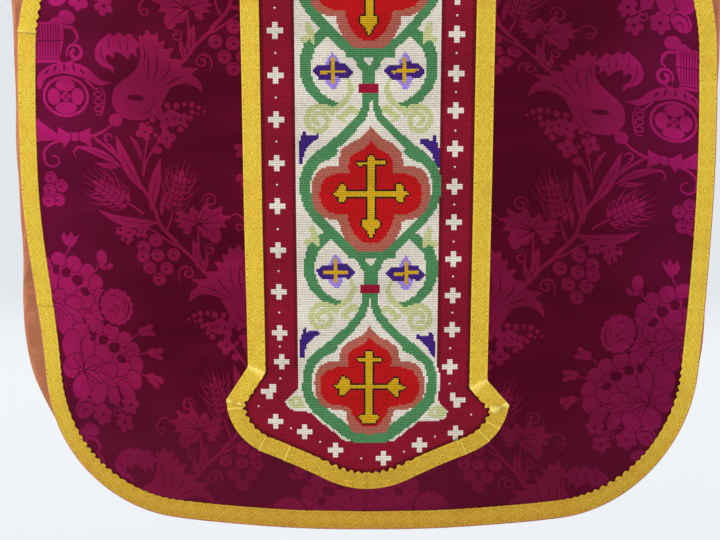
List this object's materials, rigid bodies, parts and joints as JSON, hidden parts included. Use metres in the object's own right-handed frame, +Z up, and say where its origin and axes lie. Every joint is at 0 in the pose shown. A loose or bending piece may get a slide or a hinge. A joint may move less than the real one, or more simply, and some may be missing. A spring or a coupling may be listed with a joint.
{
  "type": "chasuble",
  "caption": "Fiddleback chasuble in crimson silk damask with a needlework column, gold galloon edging and satin lining, hanging as worn.",
  "frame": {"origin": "middle of the neck opening, level with the crest of the shoulders at the centre line", "axes": "+Z up along the hanging panels, -Y towards the front panel, +X to the right when looking along +Y"},
  "size_m": [0.7164, 0.194, 0.9827],
  "materials": {
    "silk_damask": "satin figured silk",
    "interlining": "unbleached linen canvas",
    "lining": "copper satin",
    "needlework": "matt wool stitches on canvas",
    "gold_galloon": "woven gold silk braid"
  },
  "bodies": {
    "shoulders": {"back_yoke_armhole_galloon_left": "gold_galloon", "back_yoke_armhole_galloon_right": "gold_galloon", "back_yoke_column_galloon_left": "gold_galloon", "back_yoke_column_galloon_right": "gold_galloon", "back_yoke_damask_left": "silk_damask", "back_yoke_damask_right": "silk_damask", "back_yoke_interlining": "interlining", "back_yoke_lining": "lining", "back_yoke_needlework": "needlework", "front_yoke_armhole_galloon_left": "gold_galloon", "front_yoke_armhole_galloon_right": "gold_galloon", "front_yoke_column_galloon_left": "gold_galloon", "front_yoke_column_galloon_right": "gold_galloon", "front_yoke_damask_left": "silk_damask", "front_yoke_damask_right": "silk_damask", "front_yoke_interlining": "interlining", "front_yoke_lining": "lining", "front_yoke_needlework": "needlework", "neck_galloon": "gold_galloon", "shoulder_seam_galloon_left": "gold_galloon", "shoulder_seam_galloon_right": "gold_galloon"},
    "front_panel": {"front_column_galloon_left": "gold_galloon", "front_column_galloon_right": "gold_galloon", "front_damask_left": "silk_damask", "front_damask_right": "silk_damask", "front_edge_galloon_hem_and_right": "gold_galloon", "front_edge_galloon_middle_left": "gold_galloon", "front_edge_galloon_upper_left": "gold_galloon", "front_interlining": "interlining", "front_lining": "lining", "front_needlework": "needlework"},
    "back_panel": {"back_column_galloon_left": "gold_galloon", "back_column_galloon_right": "gold_galloon", "back_damask_left": "silk_damask", "back_damask_right": "silk_damask", "back_edge_galloon_left": "gold_galloon", "back_edge_galloon_right": "gold_galloon", "back_interlining": "interlining", "back_lining": "lining", "back_needlework": "needlework"}
  },
  "joints": [
    {"name": "front_panel_lift", "type": "hinge", "parent": "shoulders", "child": "front_panel", "pos_m": [0, -0.079, -0.078], "axis": [-1, 0, 0], "range_deg": [0, 75]},
    {"name": "back_panel_lift", "type": "hinge", "parent": "shoulders", "child": "back_panel", "pos_m": [0, 0.0883, -0.06], "axis": [1, 0, 0], "range_deg": [0, 75]}
  ]
}
